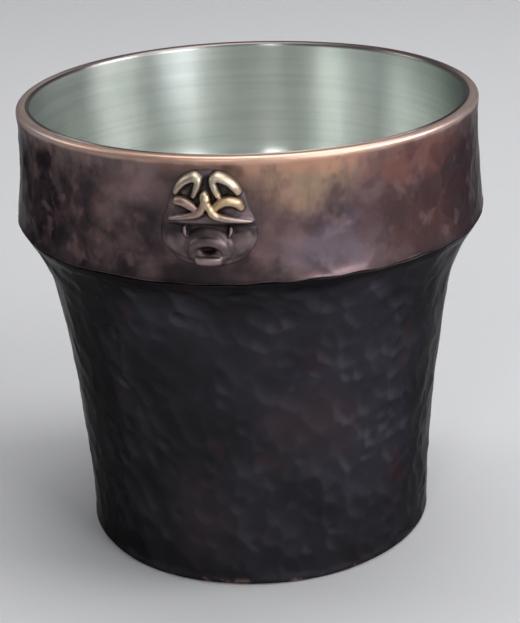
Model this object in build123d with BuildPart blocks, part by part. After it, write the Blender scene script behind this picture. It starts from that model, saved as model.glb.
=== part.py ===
from build123d import *
import os
from math import acos, asin, cos, degrees, radians, sin

# Copper mug without a handle, in millimetres, +Z up.
# The origin is the centre of the foot, on the plane that the mug stands on.
# The cast mask on the collar faces -Y.

# Driving dimensions
MUG_HEIGHT = 86.0  # foot to lip
FOOT_RADIUS = 34.1  # outside of the body at the foot
RIM_RADIUS = 43.0  # outside of the collar at the lip
RIDGE_HEIGHT = 64.0  # the collar's sharp lower edge, where the body's flare ends
LIP_THICKNESS = 2.5  # collar and liner together, at the lip

# The body's outline is two tangent arcs. Both centres lie outside the mug, so the
# side leaves the foot upright and flares ever more steeply towards the ridge.
BODY_ARC = 304.0
BODY_ANGLE = 9.3
FLARE_ARC = 34.0

# Sheet and casting thicknesses
BODY_WALL = 1.6
LINER_WALL = 0.7
LINER_GAP = 0.3  # air between the hammered body and the spun liner
PLATE_THICKNESS = 1.6

# Edges
FOOT_ROUND = 1.2
LIP_ROUND = 0.8
LINER_LIP_ROUND = 0.35
LINER_FLOOR_ROUND = 3.5  # outside of the liner; its inside is less by the wall
LINER_SHOULDER_ROUND = 3.0
COLLAR_HOLLOW = 200.0  # radius of the slight hollow in the collar's face
BRAZE_LEG = 1.2

# Mask and its rivets
MASK_HEIGHT = 76.2  # level of the eyes' lower lids
RIVET_RADIUS = 1.1
RIVET_HEAD_RADIUS = 2.0
RIVET_SINK = 0.35  # how far a rivet goes into the casting
RIVET_HEIGHTS = (73.4, 79.6)

# The mask's features, as (across, up) from its centre line and MASK_HEIGHT, on the +X
# cheek. The closed outlines start on the centre line at the top and end on it below.
HEAD = [(0, 8.5), (3.6, 7.6), (6.2, 4.6), (7.3, 1.2), (8.4, -1.8), (8.1, -5.0), (5.0, -8.1), (0, -9.0)]
FORELOCK = [(2.0, 3.7), (1.25, 5.8), (2.0, 7.0), (3.9, 6.4), (5.3, 4.4)]
BROW = [(1.5, 1.7), (2.5, 2.6), (3.9, 2.9), (5.5, 2.1)]
LOWER_LID = [(0.9, 1.2), (2.5, 0.3), (7.0, -0.7)]
NOSE = [(0, 4.5), (0.9, 3.6), (1.2, 1.0), (1.5, -0.8), (0, -1.4)]
MUZZLE = [(0, -1.8), (2.6, -2.4), (3.4, -4.2), (2.7, -5.9), (0, -4.8)]
CHIN = [(0, -6.4), (2.2, -6.5), (2.2, -8.0), (0, -8.2)]

# Places that follow from the driving dimensions
FLARE_START_R = FOOT_RADIUS + BODY_ARC * (1 - cos(radians(BODY_ANGLE)))
FLARE_START_Z = BODY_ARC * sin(radians(BODY_ANGLE))
FLARE_CENTRE_R = FLARE_START_R + FLARE_ARC * cos(radians(BODY_ANGLE))
FLARE_CENTRE_Z = FLARE_START_Z - FLARE_ARC * sin(radians(BODY_ANGLE))
LINER_RADIUS = RIM_RADIUS - LIP_THICKNESS + LINER_WALL  # outside of its upright mouth


def flare_radius(inset, height):
    """Radius at a height on the flare, moved into the wall by inset."""
    arc = FLARE_ARC + inset
    return FLARE_CENTRE_R - arc * cos(asin((height - FLARE_CENTRE_Z) / arc))


def flare_height(inset, radius):
    """Height at which the flare, moved into the wall by inset, reaches a radius."""
    arc = FLARE_ARC + inset
    return FLARE_CENTRE_Z + arc * sin(acos((FLARE_CENTRE_R - radius) / arc))


def inside_body(inset, floor, top):
    """Half section of all that lies inside the body's outline, moved in by inset."""
    side_arc = BODY_ARC + inset
    flare_arc = FLARE_ARC + inset
    start = degrees(asin(floor / side_arc))
    end = degrees(asin((top - FLARE_CENTRE_Z) / flare_arc))
    with BuildSketch() as section:
        with BuildLine():
            side = CenterArc((FOOT_RADIUS + BODY_ARC, 0), side_arc, 180 - start, start - BODY_ANGLE)
            flare = CenterArc(
                (FLARE_CENTRE_R, FLARE_CENTRE_Z), flare_arc, 180 - BODY_ANGLE, BODY_ANGLE - end
            )
            Polyline(side @ 0, (0, floor), (0, top), flare @ 1)
        make_face()
    return section.sketch


def inside_collar(relief):
    """Half section of all that lies inside the collar's face, raised by relief."""
    ridge = (flare_radius(0, RIDGE_HEIGHT) + relief, RIDGE_HEIGHT)
    lip = (RIM_RADIUS + relief, MUG_HEIGHT)
    with BuildSketch() as section:
        with BuildLine():
            face = RadiusArc(ridge, lip, COLLAR_HOLLOW)
            Polyline(face @ 1, (0, MUG_HEIGHT), (0, RIDGE_HEIGHT), face @ 0)
        make_face()
    return section.sketch


def inside_liner(wall):
    """Half section of all that lies inside the liner's outer face, moved in by wall."""
    inset = BODY_WALL + LINER_GAP + wall
    floor = PLATE_THICKNESS + wall
    mouth_radius = LINER_RADIUS - wall
    shoulder = flare_height(inset, mouth_radius)
    with BuildSketch() as section:
        add(inside_body(inset, floor, shoulder))
        with Locations((0, shoulder)):
            Rectangle(mouth_radius, MUG_HEIGHT - shoulder, align=(Align.MIN, Align.MIN))
        shoulder_corner = section.vertices().sort_by_distance((mouth_radius, shoulder, 0))[0]
        fillet(shoulder_corner, LINER_SHOULDER_ROUND - wall)
        floor_corner = section.vertices().group_by(Axis.Y)[0].sort_by(Axis.X)[-1]
        fillet(floor_corner, LINER_FLOOR_ROUND - wall)
    return section.sketch


def on_cheek(points, cheek):
    """Points on one side of the mask: cheek is 1 towards +X and -1 towards -X."""
    return [(cheek * x, z) for x, z in points]


def strand(points, width):
    """A band of even width with round ends along a smooth line on the mask."""
    with BuildSketch(Plane.XZ) as band:
        with BuildLine() as line:
            Spline(*[(x, MASK_HEIGHT + z) for x, z in points])
        trace(line.line, line_width=width)
        for end in (line.line @ 0, line.line @ 1):
            with Locations((end.X, end.Z)):
                Circle(width / 2)
    return band.sketch


def patch(points):
    """A smooth closed outline on the mask."""
    with BuildSketch(Plane.XZ) as area:
        with BuildLine():
            Spline(*[(x, MASK_HEIGHT + z) for x, z in points], periodic=True)
        make_face()
    return area.sketch


def raised(outline, relief):
    """The mask's metal over an outline, from the collar's face up to a relief."""
    with BuildPart() as area:
        with BuildSketch(Plane.XZ):
            add(inside_collar(relief))
            add(inside_collar(0), mode=Mode.SUBTRACT)
        revolve(axis=Axis.Z)
        extrude(outline, amount=RIM_RADIUS * 2, mode=Mode.INTERSECT)
    return area.part


os.makedirs("parts", exist_ok=True)

# Body: raised from copper sheet, open at the foot, its flare ending at the ridge
with BuildPart() as copper_body:
    with BuildSketch(Plane.XZ):
        add(inside_body(0, 0, RIDGE_HEIGHT))
        add(inside_body(BODY_WALL, 0, RIDGE_HEIGHT), mode=Mode.SUBTRACT)
    revolve(axis=Axis.Z)
    foot_edge = copper_body.edges().group_by(Axis.Z)[0].sort_by(SortBy.RADIUS)[-1]
    fillet(foot_edge, FOOT_ROUND)
copper_body.part.label = "copper_body"

# Base plate: a disc let into the foot, flush with its lower edge
with BuildPart() as base_plate:
    with BuildSketch(Plane.XY):
        Circle(FOOT_RADIUS - BODY_WALL)
    extrude(amount=PLATE_THICKNESS)
base_plate.part.label = "base_plate"

# Braze between the base plate and the body, a fillet hidden by the liner
with BuildPart() as base_braze:
    with BuildSketch(Plane.XZ):
        with BuildLine():
            corner = (FOOT_RADIUS - BODY_WALL, PLATE_THICKNESS)
            along_plate = (corner[0] - BRAZE_LEG, corner[1])
            up_wall = (corner[0], corner[1] + BRAZE_LEG)
            Polyline(corner, along_plate, up_wall, close=True)
        make_face()
    revolve(axis=Axis.Z)
base_braze.part.label = "base_braze"

# Rivets: driven from inside the collar, dressed flush with its inner face
with BuildPart() as mask_rivets:
    head_start = LINER_RADIUS - 0.5
    head_depth = RIVET_HEAD_RADIUS - RIVET_RADIUS + 0.5
    with BuildSketch(Plane.XZ.offset(head_start)) as heads:
        with Locations(*[(0, height) for height in RIVET_HEIGHTS]):
            Circle(RIVET_RADIUS + head_depth)
    extrude(amount=head_depth, taper=45)
    with BuildSketch(Plane.XZ.offset(head_start)) as shanks:
        with Locations(*[(0, height) for height in RIVET_HEIGHTS]):
            Circle(RIVET_RADIUS)
    extrude(amount=RIM_RADIUS)
    with BuildSketch(Plane.XZ):
        add(inside_collar(RIVET_SINK))
    revolve(axis=Axis.Z, mode=Mode.INTERSECT)
    Cylinder(LINER_RADIUS, 2 * MUG_HEIGHT, mode=Mode.SUBTRACT)
mask_rivets.part.label = "mask_rivets"

# Collar: a heavy hoop, hollowed a little, thickest at the ridge
with BuildPart() as copper_collar:
    with BuildSketch(Plane.XZ):
        add(inside_collar(0))
        with Locations((0, RIDGE_HEIGHT)):
            Rectangle(
                LINER_RADIUS, MUG_HEIGHT, align=(Align.MIN, Align.MIN), mode=Mode.SUBTRACT
            )
    revolve(axis=Axis.Z)
    lip_edge = copper_collar.edges().group_by(Axis.Z)[-1].sort_by(SortBy.RADIUS)[-1]
    fillet(lip_edge, LIP_ROUND)
    add(mask_rivets.part, mode=Mode.SUBTRACT)
copper_collar.part.label = "copper_collar"

# Braze in the corner between the collar and the flare, hidden by the liner
with BuildPart() as collar_braze:
    with BuildSketch(Plane.XZ):
        add(inside_body(BODY_WALL, PLATE_THICKNESS, RIDGE_HEIGHT))
        Rectangle(
            LINER_RADIUS, RIDGE_HEIGHT, align=(Align.MIN, Align.MIN), mode=Mode.SUBTRACT
        )
    revolve(axis=Axis.Z)
collar_braze.part.label = "collar_braze"

# Liner: a spun cup, standing on the base plate and meeting the collar at the mouth
with BuildPart() as tin_liner:
    with BuildSketch(Plane.XZ):
        add(inside_liner(0))
        add(inside_liner(LINER_WALL), mode=Mode.SUBTRACT)
    revolve(axis=Axis.Z)
    mouth_edge = tin_liner.edges().group_by(Axis.Z)[-1].sort_by(SortBy.RADIUS)[0]
    fillet(mouth_edge, LINER_LIP_ROUND)
tin_liner.part.label = "tin_liner"

# Mask: a cast beast's face, its back fitted to the collar's hollow face
with BuildPart() as beast_mask:
    add(raised(patch(HEAD + on_cheek(reversed(HEAD[1:-1]), -1)), 1.0))
    for cheek in (1, -1):
        add(raised(strand(on_cheek(FORELOCK, cheek), 1.4), 2.1))
        add(raised(strand(on_cheek(BROW, cheek), 1.5), 2.2))
        add(raised(strand(on_cheek(LOWER_LID, cheek), 1.0), 2.0))
    add(raised(patch(NOSE + on_cheek(reversed(NOSE[1:-1]), -1)), 2.6))
    add(raised(patch(MUZZLE + on_cheek(reversed(MUZZLE[1:-1]), -1)), 2.4))
    add(raised(patch(CHIN + on_cheek(reversed(CHIN[1:-1]), -1)), 2.0))
    add(mask_rivets.part, mode=Mode.SUBTRACT)
beast_mask.part.label = "beast_mask"

export_step(copper_body.part, "parts/copper_body.step")
export_step(base_plate.part, "parts/base_plate.step")
export_step(base_braze.part, "parts/base_braze.step")
export_step(copper_collar.part, "parts/copper_collar.step")
export_step(collar_braze.part, "parts/collar_braze.step")
export_step(tin_liner.part, "parts/tin_liner.step")
export_step(beast_mask.part, "parts/beast_mask.step")
export_step(mask_rivets.part, "parts/mask_rivets.step")
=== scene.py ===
from math import cos, pi, radians, sin

import bpy
import numpy as np
from mathutils import Matrix, Vector


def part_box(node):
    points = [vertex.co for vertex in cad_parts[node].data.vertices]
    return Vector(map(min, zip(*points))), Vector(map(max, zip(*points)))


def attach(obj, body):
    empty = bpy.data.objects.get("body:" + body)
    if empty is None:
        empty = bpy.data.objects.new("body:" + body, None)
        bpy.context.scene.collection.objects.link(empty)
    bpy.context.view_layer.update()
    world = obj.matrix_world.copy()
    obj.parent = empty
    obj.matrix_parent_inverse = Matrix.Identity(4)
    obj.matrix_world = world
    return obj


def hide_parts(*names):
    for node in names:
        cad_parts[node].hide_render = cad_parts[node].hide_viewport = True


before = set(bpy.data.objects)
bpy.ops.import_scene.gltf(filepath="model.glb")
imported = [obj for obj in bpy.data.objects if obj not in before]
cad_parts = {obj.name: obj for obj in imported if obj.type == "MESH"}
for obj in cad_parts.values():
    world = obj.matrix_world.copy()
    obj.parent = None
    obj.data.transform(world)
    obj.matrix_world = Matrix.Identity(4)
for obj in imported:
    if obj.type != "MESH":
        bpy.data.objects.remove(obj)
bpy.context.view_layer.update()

# Metres throughout. The mug's axis is +Z, and the mask on its collar faces -Y.
MM = 0.001

# Places taken from the CAD frame
COLLAR_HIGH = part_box("copper_collar")[1]
BODY_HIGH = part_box("copper_body")[1]
PLATE_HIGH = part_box("base_plate")[1]
LINER_LOW, LINER_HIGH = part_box("tin_liner")
MASK_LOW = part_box("beast_mask")[0]
HEIGHT = COLLAR_HIGH.z
RIDGE_R, RIDGE_Z = BODY_HIGH.x, BODY_HIGH.z
LINER_R = LINER_HIGH.x
MASK_Z = MASK_LOW.z + 9.0 * MM  # level of the mask's lower eyelids

# The same walls as the CAD
BODY_WALL = 1.6 * MM
LINER_WALL = 0.7 * MM
LINER_GAP = 0.3 * MM  # between the body and the liner
COLLAR_LIP = 1.8 * MM  # the collar's own thickness at the lip

# The same outline as the CAD: two tangent arcs from the foot to the ridge, then the collar
FOOT_R = PLATE_HIGH.x + BODY_WALL
RIM_R = LINER_R + COLLAR_LIP
BODY_ARC = 304 * MM
BODY_ANGLE = radians(9.3)
FLARE_ARC = 34 * MM
FLARE_START_Z = BODY_ARC * sin(BODY_ANGLE)
FLARE_R = FOOT_R + BODY_ARC * (1 - cos(BODY_ANGLE)) + FLARE_ARC * cos(BODY_ANGLE)
FLARE_Z = FLARE_START_Z - FLARE_ARC * sin(BODY_ANGLE)
COLLAR_HOLLOW = 200 * MM  # radius of the slight hollow in the collar's face

# Points round the mug in each piece
BODY_AROUND = 560
COLLAR_AROUND = 760
LINER_AROUND = 330
PLATE_AROUND = 240
MASK_AROUND = 560

# Edges and hand work
FOOT_ROUND = 1.2 * MM
LIP_ROUND = 0.8 * MM
CORNER = 0.45 * MM  # rounding of the collar's lower corner
LAP = 0.22 * MM  # how far the collar stands over the body at the ridge
BLOW_DEPTH = 0.5 * MM  # of a full hammer blow
BODY_MIDDLE_R = 37 * MM  # spaces the body's blows round it


# ---------------------------------------------------------------- outlines


def body_radius(z, inset=0.0):
    """Radius of the body's outline at heights z, moved into the wall by inset."""
    z = np.asarray(z, float)
    side_arc, flare_arc = BODY_ARC + inset, FLARE_ARC + inset
    side = FOOT_R + BODY_ARC - np.sqrt(side_arc**2 - np.minimum(z, HEIGHT) ** 2)
    rise = np.clip(z - FLARE_Z, -0.99 * flare_arc, 0.99 * flare_arc)
    flare = FLARE_R - np.sqrt(flare_arc**2 - rise**2)
    turn = FLARE_START_Z + inset * sin(BODY_ANGLE)
    return np.where(z < turn, side, flare)


def collar_radius(z):
    """Radius of the collar's slightly hollow face at heights z."""
    z = np.asarray(z, float)
    share = (z - RIDGE_Z) / (HEIGHT - RIDGE_Z)
    straight = RIDGE_R + (RIM_R - RIDGE_R) * share
    half = (HEIGHT - RIDGE_Z) / 2
    dip = np.sqrt(COLLAR_HOLLOW**2 - (z - RIDGE_Z - half) ** 2) - np.sqrt(COLLAR_HOLLOW**2 - half**2)
    return straight - dip


def quarter(centre, radius, start, end, count=7):
    """Points of an arc in the half section, angles in degrees."""
    angles = np.radians(np.linspace(start, end, count))
    return np.column_stack((centre[0] + radius * np.cos(angles), centre[1] + radius * np.sin(angles)))


def resample(points, spacing):
    """The same line with even steps of about the given length."""
    points = np.asarray(points, float)
    steps = np.hypot(*np.diff(points, axis=0).T)
    along = np.concatenate(([0], np.cumsum(steps)))
    count = max(2, int(round(along[-1] / spacing)) + 1)
    at = np.linspace(0, along[-1], count)
    return np.column_stack([np.interp(at, along, points[:, i]) for i in (0, 1)])


def normals_of(section):
    """Unit normals of a line in the half section, outward where it climbs the outside."""
    slope = np.gradient(section, axis=0)
    slope /= np.linalg.norm(slope, axis=1)[:, None]
    return np.column_stack((slope[:, 1], -slope[:, 0]))


def fade(values, low, high):
    """0 below low, 1 above high, smooth between."""
    t = np.clip((values - low) / (high - low), 0, 1)
    return t * t * (3 - 2 * t)


def around_axis(count):
    """Evenly spaced angles round the mug's axis."""
    return np.arange(count) / count * 2 * pi


def swept(section, angle):
    """Radius and height of a half section, repeated at every angle."""
    return (np.repeat(section[:, i : i + 1], len(angle), axis=1) for i in (0, 1))


# ---------------------------------------------------------------- meshes


def mesh_object(name, vertices, faces):
    """A mesh object from numpy arrays: faces are rows of corners, -1 in the last for a triangle."""
    sizes = np.where(faces[:, -1] < 0, 3, 4)
    corners = faces.ravel()[faces.ravel() >= 0]
    mesh = bpy.data.meshes.new(name)
    mesh.vertices.add(len(vertices))
    mesh.vertices.foreach_set("co", np.asarray(vertices, np.float32).ravel())
    mesh.loops.add(len(corners))
    mesh.loops.foreach_set("vertex_index", corners.astype(np.int32))
    mesh.polygons.add(len(faces))
    starts = np.concatenate(([0], np.cumsum(sizes)[:-1]))
    mesh.polygons.foreach_set("loop_start", starts.astype(np.int32))
    mesh.polygons.foreach_set("use_smooth", np.full(len(faces), True))
    mesh.update(calc_edges=True)
    mesh.validate()
    piece = bpy.data.objects.new(name, mesh)
    bpy.context.scene.collection.objects.link(piece)
    return piece


def ring_faces(rings, around, closed):
    """Quads over a grid of rings, the last ring joined to the first where closed."""
    rows = np.arange(rings if closed else rings - 1)[:, None] * around
    columns = np.arange(around)[None, :]
    a, b = rows + columns, rows + (columns + 1) % around
    end = around * rings
    return np.stack((a, b, (b + around) % end, (a + around) % end), axis=-1).reshape(-1, 4)


def fans(rings, around, first, last):
    """Triangles that close a grid of rings at both ends onto single points."""
    i = np.arange(around)
    j = (i + 1) % around
    end = (rings - 1) * around
    none = np.full(around, -1)
    start_fan = np.stack((j, i, np.full(around, first), none), axis=-1)
    end_fan = np.stack((end + i, end + j, np.full(around, last), none), axis=-1)
    return np.vstack((start_fan, end_fan))


def capped(name, grid, poles):
    """A closed piece from a grid of rings by angles, ending in a point at each end."""
    rings, around = grid.shape[:2]
    vertices = np.vstack((grid.reshape(-1, 3), poles))
    count = rings * around
    faces = np.vstack((ring_faces(rings, around, False), fans(rings, around, count, count + 1)))
    return mesh_object(name, vertices, faces)


def turned(radius, height, angle):
    """Places of a grid of rings round the axis; angle 0 is the mask's side."""
    return np.stack((radius * np.sin(angle), -radius * np.cos(angle), height), axis=-1)


def paint(piece, name, values):
    """Keeps one number per vertex, which the material reads."""
    layer = piece.data.attributes.new(name, "FLOAT", "POINT")
    full = np.zeros(len(piece.data.vertices), np.float32)
    full[: values.size] = values.ravel()
    layer.data.foreach_set("value", full)


# ---------------------------------------------------------------- hand work


def waves(angle, z, seed, turns=6, count=7, reach=30 * MM):
    """Slow unevenness round the mug, from about -1 to 1."""
    rng = np.random.default_rng(seed)
    total = np.zeros((len(z), len(angle)))
    for _ in range(count):
        k = rng.integers(1, turns + 1)
        pitch = rng.uniform(-1, 1) * 2 * pi / reach
        size = rng.uniform(0.4, 1)
        total += size * np.cos(k * angle[None, :] + pitch * z[:, None] + rng.uniform(0, 2 * pi))
    return total / (0.5 * count)


def hammered(angle, z, radius, blow, spacing, seed):
    """How deep overlapping hammer blows lie, 0 to about 1, on a grid of heights by angles."""
    rng = np.random.default_rng(seed)
    depth = np.zeros((len(z), len(angle)))
    step = angle[1] - angle[0]
    count = int(2 * pi * radius / spacing)
    levels = np.arange(z.min() - blow, z.max() + blow, spacing * 0.86)
    for level, low in enumerate(levels):
        for i in range(count):
            turn = (i + 0.5 * (level % 2) + rng.uniform(-0.45, 0.45)) / count * 2 * pi
            height = low + rng.uniform(-0.45, 0.45) * spacing
            wide = blow * rng.uniform(0.6, 1.5)
            tall = wide * rng.uniform(0.8, 1.4)
            lean = rng.uniform(-0.5, 0.5)
            force = rng.uniform(0.2, 1.0)
            rows = np.nonzero(np.abs(z - height) < tall)[0]
            if len(rows):
                half = int(1.4 * wide / radius / step) + 1
                columns = np.arange(int(turn / step) - half, int(turn / step) + half + 1)
                up = (z[rows] - height)[:, None]
                across = ((columns * step - turn)[None, :] * radius + lean * up) / wide
                dent = force * (1 - across**2 - (up / tall) ** 2)
                window = np.ix_(rows, columns % len(angle))
                depth[window] = np.maximum(depth[window], dent)
    return depth


def marked(angle, z, radius, marks):
    """How deep single blows lie: each has its degrees round the mug, level, half sizes and force."""
    depth = np.zeros((len(z), len(angle)))
    for degrees, level, wide, tall, force in marks:
        turn = (angle - radians(degrees) + pi) % (2 * pi) - pi
        across = turn[None, :] * radius / wide
        up = (z[:, None] - level) / tall
        depth = np.maximum(depth, force * (1 - across**2 - up**2))
    return depth


def crests(depth):
    """Where blows meet in a raised line, from 0 to 1."""
    beside = np.roll(depth, 1, axis=1) + np.roll(depth, -1, axis=1)
    above = np.vstack((depth[:1], depth[:-1]))
    below = np.vstack((depth[1:], depth[-1:]))
    return np.clip((beside + above + below - 4 * depth) * 3.0, 0, 1)


def painted_light_flanks(depth):
    """Where the sides of the blows face up and to the right, from 0 to 1: a painted highlight, as if lit
    from the upper right.
    """
    across = np.roll(depth, -1, axis=1) - np.roll(depth, 1, axis=1)
    up = np.gradient(depth, axis=0) * 2
    return np.clip((across + up) * 2.6, 0, 1)


# ---------------------------------------------------------------- vessel


def ridge_lift(angle):
    """How far the hand-made ridge rises and falls round the mug."""
    level = np.zeros(1)
    slow = waves(angle, level, seed=5, turns=9)[0]
    quick = waves(angle, level, seed=6, turns=44)[0]
    return 0.24 * MM * slow + 0.2 * MM * quick


def lip_lift(angle):
    """How far the lip rises and falls round the mug."""
    return 0.12 * MM * waves(angle, np.zeros(1), seed=8, turns=5)[0]


def unevenness(angle, z):
    """The slow in and out of the hammered sides, shared by the body and the collar."""
    return 0.2 * MM * waves(angle, z, seed=11, turns=8)


def lifted(angle, z):
    """Heights of a section at every angle, with the ridge's and the lip's rise and fall."""
    near_ridge = 1 - fade(np.abs(z - RIDGE_Z), 0, 7 * MM)
    near_lip = fade(z, HEIGHT - 6 * MM, HEIGHT)
    return z[:, None] + near_ridge[:, None] * ridge_lift(angle) + near_lip[:, None] * lip_lift(angle)


def hoop(name, outer, inner, angle, push):
    """A closed ring of metal; push moves the outer line's points out along their normals."""
    section = np.vstack((outer, inner))
    count = len(outer)
    radius = np.repeat(section[:, :1], len(angle), axis=1)
    height = lifted(angle, section[:, 1])
    normal = normals_of(outer)
    radius[:count] += normal[:, :1] * push
    height[:count] += normal[:, 1:] * push
    grid = turned(radius, np.maximum(height, 0), angle)
    return mesh_object(name, grid.reshape(-1, 3), ring_faces(*radius.shape, closed=True))


def paint_blows(piece, dent):
    """Keeps the raised lines between the blows for the worn patina, and their upper right sides for a
    painted highlight.
    """
    paint(piece, "crest", crests(dent))
    paint(piece, "painted_light_flank", painted_light_flanks(dent))


def make_body():
    """The hammered lower body, open at the foot, from its rounded foot to the ridge."""
    angle = around_axis(BODY_AROUND)
    rise = np.linspace(FOOT_ROUND, RIDGE_Z, 400)
    foot = quarter((FOOT_R - FOOT_ROUND, FOOT_ROUND), FOOT_ROUND, -90, 0)
    tuck = LAP * fade(rise, RIDGE_Z - 1.5 * MM, RIDGE_Z - 0.2 * MM)
    side = np.column_stack((body_radius(rise) - tuck, rise))
    outer = resample(np.vstack((foot, side)), 0.45 * MM)
    fall = np.linspace(RIDGE_Z, 0, 120)
    inner = resample(np.column_stack((body_radius(fall, BODY_WALL), fall)), 2.4 * MM)
    z = outer[:, 1]
    calm = fade(z, 0.4 * MM, 2.2 * MM) * (1 - 0.7 * fade(z, RIDGE_Z - 3 * MM, RIDGE_Z - 0.5 * MM))
    broad = hammered(angle, z, BODY_MIDDLE_R, 5.6 * MM, 7.0 * MM, seed=21)
    small = hammered(angle, z, BODY_MIDDLE_R, 2.9 * MM, 3.5 * MM, seed=22)
    dent = calm[:, None] * (0.35 * broad + 0.65 * small)
    push = unevenness(angle, z) - BLOW_DEPTH * dent
    push[0] = 0
    piece = hoop("hammered_body", outer, inner, angle, push)
    paint_blows(piece, dent)
    return piece


def near_mask(angle, z):
    """1 at the mask, 0 well away from it, on a grid of heights by angles."""
    turn = (angle + pi) % (2 * pi) - pi
    across = turn[None, :] * RIM_R / (12 * MM)
    up = (z[:, None] - MASK_Z) / (12 * MM)
    return 1 - fade(np.hypot(across, up), 0.65, 1.1)


# The collar's largest blows, most of them to the right of the mask
COLLAR_MARKS = (
    (31, 68.0 * MM, 6.8 * MM, 5.0 * MM, 1.5),
    (31.5, 74.2 * MM, 2.4 * MM, 2.4 * MM, 1.1),
    (25.5, 77.0 * MM, 1.6 * MM, 1.6 * MM, 0.8),
    (21, 71.5 * MM, 3.4 * MM, 4.0 * MM, 0.8),
    (44, 71.0 * MM, 5.0 * MM, 6.0 * MM, 1.2),
    (55, 76.0 * MM, 4.6 * MM, 5.2 * MM, 1.1),
    (-27, 68.5 * MM, 5.0 * MM, 4.6 * MM, 1.1),
)


def make_collar():
    """The hammered collar, from the corner it lays over the body to the worn lip."""
    angle = around_axis(COLLAR_AROUND)
    rise = np.linspace(RIDGE_Z + CORNER, HEIGHT - LIP_ROUND, 200)
    corner = quarter((RIDGE_R - CORNER, RIDGE_Z + CORNER), CORNER, -90, 0)
    side = np.column_stack((collar_radius(rise), rise))
    lip = quarter((RIM_R - LIP_ROUND, HEIGHT - LIP_ROUND), LIP_ROUND, 0, 90, 9)
    bevel = 0.16 * MM
    crest = np.array([(LINER_R + 2 * bevel, HEIGHT), (LINER_R, HEIGHT - bevel)])
    outer = resample(np.vstack((corner, side, lip, crest)), 0.3 * MM)
    bore = np.array([(LINER_R, HEIGHT - 3 * bevel), (LINER_R, RIDGE_Z)])
    under = np.array([(LINER_R, RIDGE_Z), (RIDGE_R - 2 * CORNER, RIDGE_Z)])
    inner = np.vstack((resample(bore, 2.4 * MM), resample(under, 0.8 * MM)[1:]))
    z = outer[:, 1]
    calm = 0.7 + 0.3 * fade(z, RIDGE_Z, RIDGE_Z + 1.5 * MM)
    calm *= 1 - fade(z, HEIGHT - 3.4 * MM, HEIGHT - 0.9 * MM)
    broad = hammered(angle, z, RIM_R, 5.2 * MM, 6.2 * MM, seed=31)
    small = hammered(angle, z, RIM_R, 2.6 * MM, 4.2 * MM, seed=32)
    blows = np.maximum(0.75 * broad + 0.25 * small, 0.75 * marked(angle, z, RIM_R, COLLAR_MARKS))
    dent = calm[:, None] * blows * (1 - near_mask(angle, z))
    push = unevenness(angle, z) - BLOW_DEPTH * dent
    over = np.arange(len(z)) > np.argmax(z > HEIGHT - 0.9 * LIP_ROUND)
    push[over] *= np.linspace(1, 0, over.sum())[:, None] ** 1.5
    piece = hoop("hammered_collar", outer, inner, angle, push)
    paint_blows(piece, dent)
    return piece


def liner_line(wall):
    """Half of the liner's section, from the lip down its side to the middle of its floor."""
    z = np.linspace(LINER_HIGH.z - 0.3 * MM, LINER_LOW.z + 3.5 * MM, 500)
    body = body_radius(z, BODY_WALL + LINER_GAP + wall)
    soft = 0.35 * MM
    radius = -soft * np.logaddexp(-body / soft, -(LINER_R - wall) / soft)
    turn = 3.5 * MM - wall
    corner = quarter((radius[-1] - turn, LINER_LOW.z + wall + turn), turn, 0, -90, 12)
    middle = np.array([(0.4 * MM, LINER_LOW.z + wall)])
    return np.vstack((np.column_stack((radius, z)), corner, middle))


def make_liner():
    """The spun liner: a cup with fine turned lines on its inner face."""
    angle = around_axis(LINER_AROUND)
    outer = resample(liner_line(0.0), 3 * MM)[::-1]
    inner = resample(liner_line(LINER_WALL), 0.52 * MM)
    top, edge = LINER_HIGH.z, 0.2 * MM
    rim = np.array([
        (LINER_R - edge, top - 0.05 * MM),
        (LINER_R - LINER_WALL / 2, top),
        (LINER_R - LINER_WALL + edge, top - 0.05 * MM),
    ])
    section = np.vstack((outer, rim, inner))
    radius = np.repeat(section[:, :1], len(angle), axis=1)
    start = len(outer) + len(rim) + 4
    rng = np.random.default_rng(41)
    lines = rng.normal(0, 0.006 * MM, len(section) - start)
    lines = (lines + np.roll(lines, 1) + np.roll(lines, -1)) / 3
    on_wall = fade(section[start:, 1], LINER_LOW.z + 2 * MM, LINER_LOW.z + 6 * MM)
    radius[start:] += (lines * on_wall)[:, None]
    height = lifted(angle, section[:, 1])
    poles = [(0, 0, LINER_LOW.z), (0, 0, LINER_LOW.z + LINER_WALL)]
    return capped("turned_liner", turned(radius, height, angle), poles)


def planished(x, y, reach, seed):
    """How deep round hammer blows lie over a flat disc."""
    rng = np.random.default_rng(seed)
    depth = np.zeros_like(x)
    for _ in range(260):
        middle_x, middle_y = rng.uniform(-reach, reach, 2)
        size = rng.uniform(2.8, 5.0) * MM
        dent = rng.uniform(0.5, 1) * (1 - ((x - middle_x) ** 2 + (y - middle_y) ** 2) / size**2)
        depth = np.maximum(depth, dent)
    return depth


def make_foot_plate():
    """The disc let into the foot, planished underneath."""
    angle = around_axis(PLATE_AROUND)
    wide, thick = PLATE_HIGH.x - 0.02 * MM, PLATE_HIGH.z
    edge = 0.25 * MM
    below = resample(np.array([(0.4 * MM, 0), (wide - edge, 0)]), 0.5 * MM)
    side = np.array([(wide, edge), (wide, thick)])
    above = resample(np.array([(wide, thick), (0.4 * MM, thick)]), 2 * MM)[1:]
    section = np.vstack((below, side, above))
    radius, height = swept(section, angle)
    place = turned(radius[: len(below)], 0 * radius[: len(below)], angle)
    dent = planished(place[..., 0], place[..., 1], PLATE_HIGH.x, seed=51)
    height[: len(below)] += 0.16 * MM * dent
    poles = [(0, 0, height[0].mean()), (0, 0, thick)]
    piece = capped("foot_plate", turned(radius, height, angle), poles)
    paint_blows(piece, dent)
    return piece


# ---------------------------------------------------------------- mask

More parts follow.
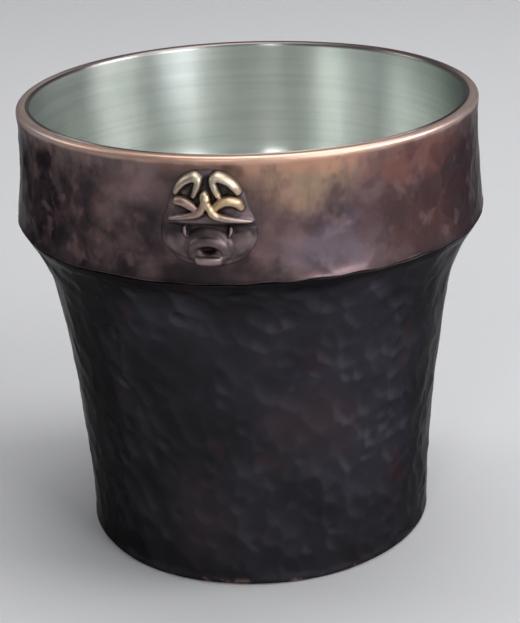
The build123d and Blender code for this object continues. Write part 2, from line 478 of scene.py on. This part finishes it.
# The head's outline, and the face's features on each side, in millimetres out from
# the mask's centre line and up from the level of its lower eyelids. The two sides
# differ a little, as a hand-worked pattern does: R is the +X side.
HEAD = [(0, 8.5), (3.6, 7.6), (6.2, 4.6), (7.3, 1.2), (8.4, -1.8), (8.1, -5.0), (5.0, -8.1), (0, -9.0)]
FORELOCK = [(1.95, 3.9), (1.42, 5.2), (1.2, 6.25), (1.95, 6.85), (3.35, 6.35), (4.5, 5.35), (5.15, 4.3)]
BROW_R = [(1.2, 1.6), (2.2, 2.5), (3.4, 2.9), (4.8, 2.5), (5.6, 1.6)]
BROW_L = [(1.7, 1.6), (2.6, 2.25), (3.5, 2.65), (4.5, 2.8), (5.3, 2.6)]
LID_R = [(0.35, 2.6), (0.7, 1.5), (1.55, 0.5), (3.3, -0.1), (5.05, -0.45), (7.2, -0.95)]
LID_L = [(0.35, 2.6), (0.62, 1.6), (1.3, 0.9), (2.65, 0.4), (4.1, 0.05), (6.4, -0.5)]
UPPER_LIP = [(0, -3.85), (1.3, -4.1), (2.3, -4.8), (2.8, -5.9)]
FANG = [(3.8, -1.9), (3.75, -2.5), (3.45, -3.3)]
JAW = [(7.2, -3.0), (7.2, -4.8), (6.2, -6.4), (4.4, -7.3), (2.9, -7.4)]


def smooth_line(points, steps=8, closed=False):
    """A smooth line through points, as a Catmull-Rom curve."""
    p = np.asarray(points, float)
    ends = (p[-1:], p[:2]) if closed else (2 * p[:1] - p[1:2], 2 * p[-1:] - p[-2:-1])
    padded = np.vstack((ends[0], p, ends[1]))
    t = np.linspace(0, 1, steps, endpoint=False)[:, None]
    spans = []
    for a, b, c, d in zip(padded, padded[1:], padded[2:], padded[3:]):
        bend = (2 * a - 5 * b + 4 * c - d) * t**2 + (3 * b - a - 3 * c + d) * t**3
        spans.append(0.5 * (2 * b + (c - a) * t + bend))
    line = np.vstack(spans)
    return line if closed else np.vstack((line, p[-1:]))


def strand(u, v, points, widths, heights, flat=2.6):
    """Rounded relief along a smooth line, with its half widths and heights along the way."""
    line = smooth_line(points)
    share = np.linspace(0, 1, len(line))
    w = np.interp(share, np.linspace(0, 1, len(widths)), widths)
    h = np.interp(share, np.linspace(0, 1, len(heights)), heights)
    relief = np.zeros_like(u)
    for i in range(len(line) - 1):
        (pu, pv), (du, dv) = line[i], line[i + 1] - line[i]
        t = np.clip(((u - pu) * du + (v - pv) * dv) / (du * du + dv * dv), 0, 1)
        away = np.hypot(u - pu - t * du, v - pv - t * dv) / (w[i] + t * (w[i + 1] - w[i]))
        tall = h[i] + t * (h[i + 1] - h[i])
        relief = np.maximum(relief, tall * np.sqrt(np.clip(1 - away**flat, 0, 1)))
    return relief


def both(u, v, right, left, widths, heights):
    """A feature on both sides of the face."""
    return np.maximum(strand(u, v, right, widths, heights), strand(-u, v, left, widths, heights))


def boss(u, v, centre, size, height, power=2.0):
    """A rounded boss; a higher power makes it blockier."""
    away = (np.abs(u - centre[0]) / size[0]) ** power + (np.abs(v - centre[1]) / size[1]) ** power
    return height * np.sqrt(np.clip(1 - away, 0, 1))


def dish(u, v, centre, size, depth):
    """A soft-edged hollow."""
    away = np.hypot((u - centre[0]) / size[0], (v - centre[1]) / size[1])
    return depth * (1 - fade(away, 0.3, 1.0))


def soften(field, radius):
    """A field blurred by a number of its grid steps, as worn castings are."""
    rows, columns = field.shape
    across = np.fft.fftfreq(rows)[:, None] ** 2 + np.fft.fftfreq(columns)[None, :] ** 2
    return np.fft.ifft2(np.fft.fft2(field) * np.exp(-2 * (pi * radius) ** 2 * across)).real


def ground(u, v):
    """The face under its features: proud brow and eyes, a step back below the lids, a full muzzle."""
    a = np.abs(u)
    base = 0.5 + 0.6 * fade(v, -1.7, -0.7) + 0.25 * np.exp(-(a / 4.5) ** 2)
    base -= dish(a, v, (3.6, 1.15), (2.4, 1.5), 0.45)
    base += boss(a, v, (3.7, 1.0), (1.75, 1.0), 0.5)
    base -= dish(a, v, (2.9, 4.6), (1.3, 1.3), 0.45)
    base -= dish(u, v, (0.0, 5.9), (0.9, 1.9), 0.35)
    base -= dish(a, v, (4.6, -2.1), (3.4, 1.0), 0.3)
    base += boss(a, v, (5.4, -4.6), (2.2, 2.3), 0.45)
    base += boss(u, v, (0.1, -5.2), (3.9, 3.6), 1.15)
    base -= dish(u, v, (0.1, -5.5), (1.75, 0.85), 1.25)
    return base - strand(a, v, JAW, (0.3, 0.4, 0.35), (0.2, 0.3, 0.25))


def features(u, v):
    """Relief of the bright features, and of the duller lip, chin and fangs."""
    lock_widths = (0.6, 0.66, 0.74, 0.88, 0.92, 0.9, 0.7)
    locks = both(u, v, FORELOCK, FORELOCK, lock_widths, (0.9, 1.1, 1.25, 1.35, 1.3, 1.15, 0.7))
    brows = both(u, v, BROW_R, BROW_L, (0.7, 0.88, 0.94, 0.88, 0.6), (1.0, 1.3, 1.35, 1.2, 0.7))
    lid_widths = (0.6, 0.78, 0.82, 0.66, 0.52, 0.3)
    lids = both(u, v, LID_R, LID_L, lid_widths, (1.5, 1.55, 1.3, 1.0, 0.8, 0.35))
    bridge = strand(u, v, [(-0.15, 3.8), (-0.05, 3.2), (0.05, 2.3)], (0.88, 0.95, 0.75), (1.3, 1.65, 1.6))
    slit = dish(u, v, (0.15, 0.6), (0.42, 1.3), 0.8)
    bright = np.max([locks, brows, lids, bridge], axis=0)
    bright = np.maximum(bright - slit, 0)
    a = np.abs(u)
    lip = strand(a, v, UPPER_LIP, (0.8, 0.82, 0.75, 0.5), (0.5, 0.5, 0.4, 0.2))
    chin = boss(u, v, (0.1, -7.45), (2.4, 0.98), 1.0, 4)
    fangs = strand(a, v, FANG, (0.42, 0.46, 0.22), (0.8, 0.9, 0.6))
    return bright, lip, chin, fangs


def sculpt(step=0.05, reach=10.0):
    """The face over a square grid: ground and features in millimetres, worn brass and hollows."""
    line = np.arange(-reach, reach + step / 2, step)
    u, v = np.meshgrid(line, line, indexing="ij")
    bright, lip, chin, fangs = features(u, v)
    low = soften(ground(u, v), 3.0)
    high = soften(np.max([bright, lip, chin, fangs], axis=0), 1.8)
    shine = fade(bright, 0.1, 0.6) + 0.75 * fade(chin, 0.3, 0.8) + 0.1 * fade(lip, 0.2, 0.5)
    shine += 0.6 * fade(fangs, 0.3, 0.7)
    hollows = fade(soften(low + high, 9.0) - low - high, 0.03, 0.35)
    return line, low, high, soften(shine, 1.5), hollows


def sample(line, field, u, v):
    """Values of a square grid's field at places between its points."""
    step = line[1] - line[0]
    i, j = (u - line[0]) / step, (v - line[0]) / step
    low_i, low_j = np.floor(i).astype(int), np.floor(j).astype(int)
    i, j = i - low_i, j - low_j
    near = field[low_i, low_j] * (1 - j) + field[low_i, low_j + 1] * j
    far = field[low_i + 1, low_j] * (1 - j) + field[low_i + 1, low_j + 1] * j
    return near * (1 - i) + far * i


def head_reach(turn):
    """Distance from the mask's middle to its outline in each direction."""
    right = np.array(HEAD, float)
    left = right[-2:0:-1] * (-1, 1)
    line = smooth_line(np.vstack((right, left)), steps=12, closed=True)
    direction = np.arctan2(line[:, 0], line[:, 1]) % (2 * pi)
    order = np.argsort(direction)
    return np.interp(turn, direction[order], np.hypot(*line.T)[order], period=2 * pi)


MASK_SINK = 0.75  # millimetres that the mask's back lies inside the collar's face


def make_mask():
    """The cast beast's face: relief over its outline, with its back sunk into the collar."""
    turn = -around_axis(MASK_AROUND)  # backwards, so that the faces look outward
    back, front = np.array([0.05, 0.5, 0.94]), np.linspace(1, 0.008, 150)
    share = np.concatenate((back, front))[:, None]
    u = share * (head_reach(turn) * np.sin(turn))[None, :]
    v = share * (head_reach(turn) * np.cos(turn))[None, :]
    line, *fields = sculpt()
    low, high, shine, hollows = (sample(line, field, u, v) for field in fields)
    edge = np.repeat(share, len(turn), axis=1)
    feather = np.where(v > -2, 4, 8)
    h = low * (1 - edge**feather) + high * (1 - edge**24) - 0.25 * edge**12 - 0.5 * edge**40
    h[: len(back)] = -MASK_SINK
    z = MASK_Z + v * MM
    grid = turned(collar_radius(z) + h * MM, z, u * MM / RIM_R)
    poles = [(0, -(collar_radius(MASK_Z) + d * MM), MASK_Z) for d in (-MASK_SINK, h[-1].mean())]
    piece = capped("cast_mask", grid, poles)
    paint(piece, "shine", shine)
    paint(piece, "cavity", np.maximum(hollows, fade(edge, 0.9, 1.0)))
    return piece


# ---------------------------------------------------------------- materials


class Wiring:
    """One metal's material, wired up node by node.

    Edge is how bright its grazing gloss is, and bare is how metallic it is.
    """

    def __init__(self, name, edge=0.5, bare=1.0):
        self.material = bpy.data.materials.new(name)
        self.material.use_nodes = True
        self.tree = self.material.node_tree
        self.tree.nodes.clear()
        surface = {"Metallic": bare, "Specular Tint": (edge, edge, edge, 1), "Specular IOR Level": 0.2}
        self.metal = self.node("ShaderNodeBsdfPrincipled", surface)
        self.node("ShaderNodeOutputMaterial", {"Surface": self.metal.outputs["BSDF"]})
        self.place = self.node("ShaderNodeTexCoord").outputs["Object"]
        split = self.node("ShaderNodeSeparateXYZ", {"Vector": self.place})
        self.z = split.outputs["Z"]
        self.turn = self.calc("ARCTAN2", split.outputs["X"], self.times(split.outputs["Y"], -1.0))

    def node(self, kind, inputs=None, **settings):
        """A node with its settings, and its inputs linked or set."""
        made = self.tree.nodes.new(kind)
        for key, value in settings.items():
            setattr(made, key, value)
        for key, value in (inputs or {}).items():
            self.feed(made.inputs[key], value)
        return made

    def feed(self, socket, value):
        """Links a socket to another node's output, or sets it."""
        if isinstance(value, bpy.types.NodeSocket):
            self.tree.links.new(value, socket)
        else:
            socket.default_value = value

    def calc(self, operation, a, b=0.0):
        """One step of arithmetic on two numbers."""
        return self.node("ShaderNodeMath", {0: a, 1: b}, operation=operation).outputs[0]

    def times(self, a, b):
        """The product of two numbers."""
        return self.calc("MULTIPLY", a, b)

    def noise(self, size, detail=3.0, stretch=(1, 1, 1), seed=0.0):
        """Soft noise from 0 to 1, with features of about the given size."""
        scale = tuple(1 / (size * s) for s in stretch)
        shift = (seed, seed * 0.7, 0)
        moved = self.node("ShaderNodeMapping", {"Vector": self.place, "Location": shift, "Scale": scale})
        made = self.node("ShaderNodeTexNoise", {"Vector": moved.outputs[0], "Scale": 1.0, "Detail": detail})
        return made.outputs["Fac"]

    def step(self, value, low, high, start=0.0, end=1.0):
        """A smooth change from start to end as a number goes from low to high."""
        inputs = {"Value": value, "From Min": low, "From Max": high, "To Min": start, "To Max": end}
        return self.node("ShaderNodeMapRange", inputs, interpolation_type="SMOOTHSTEP").outputs[0]

    def blend(self, share, a, b):
        """One colour laid over another."""
        made = self.node("ShaderNodeMix", data_type="RGBA")
        for socket, value in zip((made.inputs[0], made.inputs[6], made.inputs[7]), (share, a, b)):
            self.feed(socket, (*value, 1) if isinstance(value, tuple) else value)
        return made.outputs[2]

    def tinted(self, colour, tint, share, mask=None):
        """A colour with a share of a tint over it, only where the mask says so."""
        return self.blend(share if mask is None else self.times(mask, share), colour, tint)

    def kept(self, name):
        """A number painted on the piece's vertices."""
        return self.node("ShaderNodeAttribute", attribute_name=name).outputs["Fac"]

    def spot(self, degrees, wide, level, tall, ragged=None):
        """1 in a soft patch at an angle round the mug and a level, 0 outside it."""
        across = self.calc("DIVIDE", self.calc("SUBTRACT", self.turn, radians(degrees)), radians(wide))
        up = self.calc("DIVIDE", self.calc("SUBTRACT", self.z, level), tall)
        away = self.calc("SQRT", self.calc("ADD", self.times(across, across), self.times(up, up)))
        if ragged is not None:
            away = self.calc("ADD", away, self.times(self.calc("SUBTRACT", ragged, 0.5), 1.6))
        return self.step(away, 1.2, 0.3)

    def finish(self, colour, roughness, grain=None, height=0.0):
        """Sets the metal's colour and roughness, with a fine grain."""
        self.feed(self.metal.inputs["Base Color"], colour)
        self.feed(self.metal.inputs["Roughness"], roughness)
        if grain is not None:
            bump = self.node("ShaderNodeBump", {"Height": grain, "Strength": 1.0, "Distance": height})
            self.feed(self.metal.inputs["Normal"], bump.outputs[0])
        return self.material


def dark_patina():
    """Near-black copper, rubbed back to metal here and there, with painted light: a violet painted
    highlight on the upper right sides of the blows, a painted sheen at the front right, and painted shade
    on the left and under the collar.
    """
    w = Wiring("dark_patina", edge=0.28, bare=0.8)
    cloud = w.noise(14 * MM, detail=4)
    fine = w.noise(2.2 * MM, detail=5, seed=3.0)
    warm = w.noise(8 * MM, detail=4, seed=7.0)
    ragged = w.noise(9 * MM, detail=4, seed=2.0)
    colour = w.blend(w.step(cloud, 0.35, 0.7), (0.019, 0.018, 0.021), (0.032, 0.03, 0.035))
    # Painted reflection: a paler bluish patch on the front right of the body, and a weaker copy of it on
    # the back.
    front_sheen = w.spot(45, 36, 38 * MM, 30 * MM, ragged)
    back_sheen = w.times(w.spot(-135, 60, 40 * MM, 34 * MM, ragged), 0.8)
    painted_sheen = w.calc("ADD", front_sheen, back_sheen)
    colour = w.tinted(colour, (0.046, 0.043, 0.058), 0.5, painted_sheen)
    # Painted highlight: the upper right sides of the blows are made a lighter violet, as if lit from the
    # upper right.
    flank_highlight_share = w.calc("ADD", w.times(painted_sheen, 0.3), w.step(cloud, 0.35, 0.65, 0.1, 0.3))
    colour = w.tinted(colour, (0.095, 0.09, 0.11), flank_highlight_share, w.kept("painted_light_flank"))
    colour = w.blend(w.step(warm, 0.58, 0.76, 0, 0.5), colour, (0.06, 0.031, 0.03))
    red = w.spot(26, 17, 33 * MM, 9 * MM, ragged)
    colour = w.tinted(colour, (0.062, 0.037, 0.04), 0.34, red)
    brown = w.spot(-11, 11, 13 * MM, 13 * MM, ragged)
    colour = w.tinted(colour, (0.056, 0.042, 0.046), 0.4, brown)
    # Painted shade: the left side of the body is made near-black.
    painted_left_shade = w.spot(-62, 44, 40 * MM, 60 * MM, ragged=warm)
    colour = w.tinted(colour, (0.012, 0.0115, 0.013), 0.6, painted_left_shade)
    # Painted shade: the top of the body just under the collar's lap is made near-black.
    painted_shade_under_collar = w.step(w.z, RIDGE_Z - 1.8 * MM, RIDGE_Z - 0.7 * MM)
    colour = w.tinted(colour, (0.01, 0.0095, 0.01), 0.8, painted_shade_under_collar)
    colour = w.tinted(colour, (0.085, 0.07, 0.08), w.step(cloud, 0.4, 0.65, 0, 0.18), w.kept("crest"))
    rubbed = w.times(w.step(w.z, 1.7 * MM, 0.3 * MM), w.step(w.times(fine, warm), 0.27, 0.36))
    colour = w.tinted(colour, (0.42, 0.24, 0.2), 0.8, rubbed)
    return w.finish(colour, w.step(cloud, 0.3, 0.75, 0.285, 0.33), fine, 0.02 * MM)


def patched(w, colour, patches, ragged):
    """A colour with soft patches over it: each has its degrees, width, level, height, tint and share."""
    for degrees, wide, level, tall, tint, share in patches:
        colour = w.tinted(colour, tint, share, w.spot(degrees, wide, level, tall, ragged))
    return colour


def collar_tones(w, ragged, streak):
    """The collar's colours below the lip: its broad patches, painted shade on its sides, and the gold and
    red near the lip, with painted highlights in the gold and on a violet facet.
    """
    cloud = w.noise(11 * MM, detail=4, seed=1.0)
    low, high = RIDGE_Z + 5 * MM, HEIGHT - 5.5 * MM
    colour = w.blend(w.step(cloud, 0.33, 0.68), (0.085, 0.06, 0.064), (0.2, 0.13, 0.128))
    broad = (
        # Painted shade: these two patches make the collar near-black on the left and darker on the right.
        (-72, 64, low + 4 * MM, 26 * MM, (0.02, 0.018, 0.021), 0.95),
        (80, 44, low + 2 * MM, 26 * MM, (0.05, 0.038, 0.044), 0.88),
        (165, 34, low, 20 * MM, (0.05, 0.036, 0.04), 0.7),
        # A violet tone on the big facet right of the mask, made paler as a painted highlight.
        (30, 15, low + 1 * MM, 5.5 * MM, (0.21, 0.165, 0.2), 0.7),
        (52, 20, low + 3 * MM, 9 * MM, (0.11, 0.056, 0.054), 0.75),
    )
    colour = patched(w, colour, broad, ragged)
    rubbed = w.calc("ADD", w.z, w.calc("ADD", w.times(streak, 9 * MM), w.times(ragged, 5 * MM)))
    near_lip = w.step(rubbed, HEIGHT + 1.5 * MM, HEIGHT + 6.5 * MM)
    colour = w.tinted(colour, (0.22, 0.175, 0.165), 0.7, near_lip)
    red = ((50, 20, high + 2.5 * MM, 6 * MM, (0.27, 0.115, 0.095), 0.6),)
    colour = patched(w, colour, red, ragged)
    # Golden copper tone right of the mask near the lip, made paler as a painted highlight.
    golden_sheen_patch = w.spot(19, 17, high + 1.5 * MM, 6.5 * MM, ragged)
    gold = w.blend(w.step(cloud, 0.4, 0.6), (0.5, 0.31, 0.22), (0.4, 0.29, 0.18))
    colour = w.tinted(colour, gold, w.step(streak, 0.65, 0.4, 0.55, 0.85), golden_sheen_patch)
    lip_sheen_and_back_patch = (
        # The orange at the front of the lip is worn copper, made brighter as a painted highlight.
        (16, 26, HEIGHT - 1 * MM, 3.4 * MM, (0.6, 0.32, 0.22), 0.8),
        (-140, 30, high + 1.5 * MM, 6 * MM, (0.36, 0.22, 0.16), 0.6),
    )
    return patched(w, colour, lip_sheen_and_back_patch, ragged)


def collar_marks(w, colour, ragged, streak):
    """The collar's streaks and mottling, its worn edges, a pale patch left of the mask, painted shade at
    its lower corner, darker copper round the mask, and a painted shadow below the mask's chin.
    """
    colour = w.blend(w.step(streak, 0.56, 0.75, 0, 0.45), colour, (0.17, 0.075, 0.065))
    dark_mottle = w.noise(4.5 * MM, detail=2, seed=12.0)
    colour = w.blend(w.step(dark_mottle, 0.5, 0.64, 0, 0.4), colour, (0.06, 0.043, 0.048))
    light_mottle = w.noise(3.8 * MM, detail=2, seed=15.0)
    colour = w.blend(w.step(light_mottle, 0.55, 0.7, 0, 0.3), colour, (0.3, 0.19, 0.18))
    colour = w.tinted(colour, (0.32, 0.21, 0.19), 0.3, w.kept("crest"))
    # Painted shade: the collar's lower corner over the body is darkened.
    corner = w.step(w.z, RIDGE_Z + 1.2 * MM, RIDGE_Z + 0.2 * MM)
    colour = w.tinted(colour, (0.055, 0.042, 0.045), 0.55, corner)
    patches_and_chin_shadow = (
        (-16, 9, HEIGHT - 5.5 * MM, 3.6 * MM, (0.34, 0.22, 0.22), 0.5),
        # Darker copper round the mask.
        (-0.5, 15, MASK_Z, 12 * MM, (0.04, 0.032, 0.034), 0.75),
        # Painted shadow below the mask's chin, over dark patina.
        (-2, 14, MASK_Z - 10.5 * MM, 5.5 * MM, (0.026, 0.022, 0.024), 0.85),
    )
    return patched(w, colour, patches_and_chin_shadow, ragged)


def brown_copper():
    """The collar's aged copper: near-black to brown, with painted shade that makes its sides near-black and
    painted highlights in its golden and violet places; worn at the lip, which is painted light at the front
    and dark at the back.
    """
    w = Wiring("brown_copper", edge=0.4, bare=0.94)
    ragged = w.noise(5 * MM, detail=4, seed=4.0)
    fine = w.noise(1.6 * MM, detail=5, seed=6.0)
    streak = w.noise(2.6 * MM, detail=4, stretch=(1, 1, 3.2), seed=9.0)
    colour = collar_marks(w, collar_tones(w, ragged, streak), ragged, streak)
    lip_line = w.calc("ADD", w.z, w.times(ragged, 1.0 * MM))
    lip = w.step(lip_line, HEIGHT - 1.0 * MM, HEIGHT - 0.1 * MM)
    # The lip's front is made pale orange and its back dark: worn copper, with a painted highlight at the
    # front and painted shade at the back.
    front = w.step(w.calc("ABSOLUTE", w.turn), radians(130), radians(95))
    lip_tint_with_painted_light = w.blend(front, (0.17, 0.12, 0.11), (0.55, 0.44, 0.4))
    lip_tint_with_painted_light = w.blend(w.spot(12, 60, HEIGHT, 9 * MM, ragged), lip_tint_with_painted_light, (0.72, 0.45, 0.34))
    colour = w.blend(lip, colour, lip_tint_with_painted_light)
    rough = w.calc("ADD", w.step(fine, 0.25, 0.75, 0.285, 0.33), w.times(lip, 0.1))
    return w.finish(colour, rough, fine, 0.015 * MM)


def turned_tin():
    """Greenish-grey tin whose turned lines draw its highlights out upright."""
    w = Wiring("turned_tin", edge=0.9)
    lines = w.noise(1 * MM, detail=2, stretch=(45, 45, 1.1), seed=2.0)
    cloud = w.noise(16 * MM, detail=3, seed=5.0)
    colour = w.blend(w.step(cloud, 0.3, 0.7), (0.7, 0.75, 0.71), (0.8, 0.82, 0.79))
    colour = w.blend(w.step(lines, 0.4, 0.7, 0, 0.35), colour, (0.55, 0.6, 0.57))
    colour = w.blend(w.step(w.z, HEIGHT - 0.8 * MM, HEIGHT - 0.2 * MM), colour, (0.26, 0.24, 0.225))
    w.feed(w.metal.inputs["Anisotropic"], w.step(w.z, 5 * MM, 14 * MM, 0.2, 0.85))
    w.feed(w.metal.inputs["Anisotropic Rotation"], 0.25)
    tangent = w.node("ShaderNodeTangent", direction_type="RADIAL", axis="Z")
    w.feed(w.metal.inputs["Tangent"], tangent.outputs[0])
    floor = w.step(w.z, 16 * MM, 5 * MM)
    colour = w.blend(w.times(floor, w.step(cloud, 0.3, 0.7, 0.6, 0.85)), colour, (0.4, 0.37, 0.31))
    rough = w.calc("ADD", w.step(cloud, 0.3, 0.7, 0.29, 0.34), w.times(floor, 0.24))
    return w.finish(colour, rough, lines, 0.005 * MM)


def old_brass():
    """Cast brass, worn bright on its crests and brown to black in its hollows, with painted shade in the
    band under its lids.
    """
    w = Wiring("old_brass", edge=0.6)
    fine = w.noise(0.9 * MM, detail=5)
    cloud = w.noise(3 * MM, detail=3, seed=3.0)
    shine = w.calc("ADD", w.kept("shine"), w.times(w.calc("SUBTRACT", fine, 0.5), 0.5))
    dull = w.blend(w.step(cloud, 0.35, 0.65), (0.12, 0.09, 0.092), (0.21, 0.155, 0.155))
    # Painted shade: the band below the lower lids and above the upper lip, where the face steps back, is
    # darkened.
    below_lids = w.step(w.z, MASK_Z - 0.6 * MM, MASK_Z - 1.5 * MM)
    above_lip = w.step(w.z, MASK_Z - 4.3 * MM, MASK_Z - 2.6 * MM)
    dull = w.tinted(dull, (0.04, 0.033, 0.036), 0.75, w.times(below_lids, above_lip))
    gold = w.blend(w.step(w.turn, radians(-3), radians(2.5)), (0.42, 0.3, 0.25), (0.55, 0.41, 0.25))
    bright = w.blend(w.step(w.z, MASK_Z + 3 * MM, MASK_Z + 6 * MM), gold, (0.5, 0.43, 0.33))
    bright = w.blend(w.step(w.z, MASK_Z + 1.5 * MM, MASK_Z - 0.5 * MM), bright, (0.35, 0.26, 0.25))
    colour = w.blend(w.step(shine, 0.15, 0.85), dull, bright)
    colour = w.tinted(colour, (0.02, 0.017, 0.018), 0.85, w.kept("cavity"))
    return w.finish(colour, w.step(shine, 0.2, 0.9, 0.5, 0.43), fine, 0.03 * MM)


def plain_metal(name, dark, light, rough):
    """A plain metal with a little cloudiness, for pieces that hardly show."""
    w = Wiring(name)
    cloud = w.noise(3 * MM, detail=4)
    colour = w.blend(w.step(cloud, 0.3, 0.7), dark, light)
    return w.finish(colour, w.step(cloud, 0.3, 0.7, rough, rough + 0.12), cloud, 0.01 * MM)


# ---------------------------------------------------------------- stage


def paper():
    """The floor's plain pale paper."""
    made = bpy.data.materials.new("paper")
    made.use_nodes = True
    surface = made.node_tree.nodes["Principled BSDF"]
    surface.inputs["Base Color"].default_value = (0.52, 0.52, 0.53, 1)
    surface.inputs["Roughness"].default_value = 0.8
    surface.inputs["Specular IOR Level"].default_value = 0.15
    return made


def studio():
    """A pale floor that curves up into a wall all round."""
    flat, bend, top, around = 1.1, 0.9, 2.4, 96
    floor = np.array([(0.02, 0), (0.3, 0), (0.7, 0), (flat, 0)])
    curve = quarter((flat, bend), bend, -90, 0, 14)[1:]
    section = np.vstack((floor, curve, [(flat + bend, top)]))
    angle = around_axis(around)
    place = turned(*swept(section, angle), angle).reshape(-1, 3)
    middle = fans(len(section), around, len(place), len(place))[:around]
    faces = np.vstack((ring_faces(len(section), around, False), middle))
    bowl = mesh_object("studio", np.vstack((place, [(0, 0, 0)])), faces)
    bowl.data.materials.append(paper())


MIDDLE = Vector((0, 0, 50 * MM))  # what the lamps stand round


def direction(azimuth, rise):
    """The way to a place round the mug, in degrees; azimuth 0 is the mask's side."""
    a, r = radians(azimuth), radians(rise)
    return Vector((sin(a) * cos(r), -cos(a) * cos(r), sin(r)))


def lamp(name, azimuth, rise, distance, size, power, tint=(1, 1, 1), spread=180, target=MIDDLE):
    """A soft rectangular lamp at a place round the mug, aimed at a target."""
    data = bpy.data.lights.new(name, "AREA")
    data.shape = "RECTANGLE"
    data.size, data.size_y = size
    data.energy = power
    data.color = tint
    data.spread = radians(spread)
    made = bpy.data.objects.new(name, data)
    place = MIDDLE + direction(azimuth, rise) * distance
    aim = (Vector(target) - place).to_track_quat("-Z", "Y").to_matrix().to_4x4()
    made.matrix_world = Matrix.Translation(place) @ aim
    made.visible_camera = False
    bpy.context.scene.collection.objects.link(made)


def light_up():
    """Soft daylight from above and from the front right, in a dim room."""
    lamp("ceiling", 150, 78, 1.5, (1.3, 1.0), 8.0, spread=130)
    lamp("window", 55, 40, 1.4, (0.7, 0.8), 1.4, spread=90)
    lamp("low window", 48, 13, 1.5, (0.56, 0.4), 1.25, tint=(0.9, 0.93, 1), spread=110)
    lamp("left strip", -6, 34, 1.3, (0.13, 0.6), 0.55, spread=100)
    lamp("right screen", 92, 28, 1.4, (0.75, 0.5), 3.6, spread=100)
    lamp("rear fill", 262, 32, 1.3, (0.5, 0.6), 0.9, spread=110)
    lamp("wall wash", 215, 68, 1.7, (0.8, 0.5), 8.0, spread=80, target=(1.2, -1.7, 0.5))
    world = bpy.data.worlds.new("room")
    world.use_nodes = True
    background = world.node_tree.nodes["Background"]
    background.inputs["Color"].default_value = (0.5, 0.52, 0.55, 1)
    background.inputs["Strength"].default_value = 0.5
    bpy.context.scene.world = world
    bpy.context.scene.view_settings.view_transform = "Standard"


def set_camera():
    """The camera, looking down into the mug with the mask left of centre."""
    target, distance = Vector((0, 0, 38.7 * MM)), 326.4 * MM
    azimuth, pitch = radians(9.5), radians(22.41)
    data = bpy.data.cameras.new("camera")
    data.lens, data.sensor_width = 95.46, 36
    camera = bpy.data.objects.new("camera", data)
    orbit = Matrix.Rotation(azimuth, 4, "Z") @ Matrix.Translation(target)
    orbit = orbit @ Matrix.Rotation(pi / 2 - pitch, 4, "X") @ Matrix.Translation((0, 0, distance))
    aim = Matrix.Rotation(radians(-0.18), 4, "Y") @ Matrix.Rotation(radians(0.471), 4, "X")
    roll = Matrix.Rotation(radians(-2.1), 4, "Z")
    camera.matrix_world = orbit @ aim @ roll
    bpy.context.scene.collection.objects.link(camera)
    bpy.context.scene.camera = camera


# ---------------------------------------------------------------- build


def dress(piece, finish, node):
    """Gives a piece its material and its place in the frame."""
    piece.data.materials.append(finish)
    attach(piece, "root")
    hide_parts(node)


def refinish(node, finish):
    """Puts a material on a CAD node that stays as it is."""
    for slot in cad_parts[node].material_slots:
        slot.material = finish


dress(make_body(), dark_patina(), "copper_body")
dress(make_collar(), brown_copper(), "copper_collar")
dress(make_liner(), turned_tin(), "tin_liner")
foot = plain_metal("foot_copper", (0.05, 0.035, 0.034), (0.12, 0.07, 0.06), 0.32)
dress(make_foot_plate(), foot, "base_plate")
dress(make_mask(), old_brass(), "beast_mask")
refinish("mask_rivets", plain_metal("rivet_copper", (0.3, 0.16, 0.11), (0.42, 0.23, 0.17), 0.35))
braze = plain_metal("braze", (0.35, 0.26, 0.14), (0.45, 0.35, 0.2), 0.4)
refinish("collar_braze", braze)
refinish("base_braze", braze)

studio()
light_up()
set_camera()
